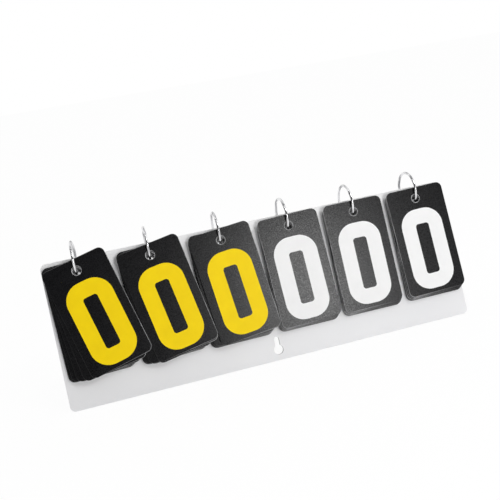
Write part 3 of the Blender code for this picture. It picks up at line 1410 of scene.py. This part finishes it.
@dataclass(frozen=True)
class DimSide:
    """A side of the room that is darker than the rest.

    Attributes:
        towards: direction of its middle.
        near: degrees from the middle up to which it is dim.
        far: degrees from the middle beyond which the room is bright.
        dim: the level in it.
        bright: the level beyond it.
    """

    towards: Place
    near: float
    far: float
    dim: float
    bright: float

    def level(self, nodes: Nodes) -> Socket:
        """The light level in each direction.

        Args:
            nodes: the world's nodes.

        Returns:
            The level.
        """
        place = nodes.add("TexCoord", {}).outputs["Generated"]
        middle = Vector(self.towards).normalized()
        facing = nodes.add("VectorMath", {0: place, 1: middle}, operation="DOT_PRODUCT")
        feeds = {
            "Value": facing.outputs["Value"],
            "From Min": math.cos(math.radians(self.far)),
            "From Max": math.cos(math.radians(self.near)),
            "To Min": self.bright,
            "To Max": self.dim,
        }
        return nodes.add("MapRange", feeds).outputs["Result"]


@dataclass
class Studio:
    """White floor, white surroundings and soft lamps."""

    board: Board
    floor_size: float = 8.0
    floor_colour: Colour = (0.94, 0.94, 0.94)
    floor_rough: float = 0.9
    floor_gloss: float = 0.1
    floor_glow: float = 0.955
    front: DimSide = DimSide(
        towards=(0.13, -0.95, 0.28), near=24.0, far=52.0, dim=0.03, bright=0.95
    )
    left: DimSide = DimSide(
        towards=(-0.82, -0.55, 0.08), near=28.0, far=64.0, dim=0.10, bright=1.0
    )
    aim: Place = (0.02, -0.055, 0.01)
    lamps: tuple[SoftLamp, ...] = (
        SoftLamp("key_lamp", offset=(0.66, -0.66, 0.88), size=(0.34, 0.34), power=3.9),
        SoftLamp("sheen_lamp", offset=(0.36, -1.15, 0.28), size=(0.20, 0.38), power=4.1),
    )

    def build(self) -> None:
        """Add the floor, the world and the lamps."""
        self.floor()
        self.world()
        target = self.board.matrix @ Vector(self.aim)
        for lamp in self.lamps:
            lamp.build(target)

    def floor(self) -> None:
        """The plain floor, which stays white to the camera but keeps the shadow."""
        half = self.floor_size / 2.0
        mesh = bpy.data.meshes.new("studio_floor")
        corners = [(-half, -half, 0.0), (half, -half, 0.0), (half, half, 0.0), (-half, half, 0.0)]
        mesh.from_pydata(corners, [], [(0, 1, 2, 3)])
        floor = bpy.data.objects.new("studio_floor", mesh)
        bpy.context.scene.collection.objects.link(floor)
        nodes = MaterialNodes("studio_floor_paint")
        nodes.dress("Base Color", (*self.floor_colour, 1.0))
        nodes.dress("Roughness", self.floor_rough)
        nodes.dress("Specular IOR Level", self.floor_gloss)
        glow = nodes.add("Emission", {"Color": WHITE})
        share = nodes.combine("MULTIPLY", self.seen_directly(nodes), self.floor_glow)
        feeds = {0: share, 1: nodes.shader.outputs[0], 2: glow.outputs[0]}
        mixed = nodes.add("MixShader", feeds).outputs[0]
        nodes.feed(nodes.tree.nodes["Material Output"].inputs["Surface"], mixed)
        mesh.materials.append(nodes.material)

    def seen_directly(self, nodes: Nodes) -> Socket:
        """A value of 1 for rays from the camera, from gloss and through glass.

        Args:
            nodes: the material's nodes.

        Returns:
            The value.
        """
        paths = nodes.add("LightPath", {}).outputs
        value = paths["Is Camera Ray"]
        for label in ("Is Glossy Ray", "Is Transmission Ray"):
            value = nodes.combine("MAXIMUM", value, paths[label])
        return value

    def world(self) -> None:
        """White to the camera, and otherwise a white room that is dim in front and on the left."""
        world = bpy.data.worlds.new("studio_surroundings")
        bpy.context.scene.world = world
        world.use_nodes = True
        nodes = Nodes(world.node_tree)
        nodes.tree.nodes.clear()
        level = nodes.combine("MULTIPLY", self.front.level(nodes), self.left.level(nodes))
        light = nodes.add("Background", {"Color": WHITE, "Strength": level})
        white = nodes.add("Background", {"Color": WHITE, "Strength": 1.0})
        seen = nodes.add("LightPath", {}).outputs["Is Camera Ray"]
        mixed = nodes.add("MixShader", {0: seen, 1: light.outputs[0], 2: white.outputs[0]})
        nodes.add("OutputWorld", {"Surface": mixed.outputs[0]})


def main() -> None:
    """Build the camera, the studio and every piece of the scoreboard."""
    logging.basicConfig(level=logging.INFO, format="%(name)s: %(message)s")
    bpy.context.scene.view_settings.view_transform = "Standard"
    fold = joint_named("easel_fold")
    lean = math.radians(max(fold["range_deg"])) / 2.0
    front = Board(Vector(fold["pos_m"]), lean)
    rear = Board(Vector(fold["pos_m"]), -lean)
    ViewOfPhoto(front).build()
    Studio(front).build()
    finishes = Finishes.build()
    StandPlate("front_plate", "front_frame", front, finishes).build()
    StandPlate("rear_plate", "rear_plate", rear, finishes).build()
    digits = DigitShape()
    hangings = iter(RING_HANGINGS)
    for side in Side:
        for place in ("hundreds", "tens", "ones"):
            name = f"{side.value}_{place}"
            CardPack(name, side, front, finishes, digits).build()
            twist, shift = next(hangings)
            LooseLeafRing(name, front, finishes, math.radians(twist), shift).build()


if __name__ == "__main__":
    main()
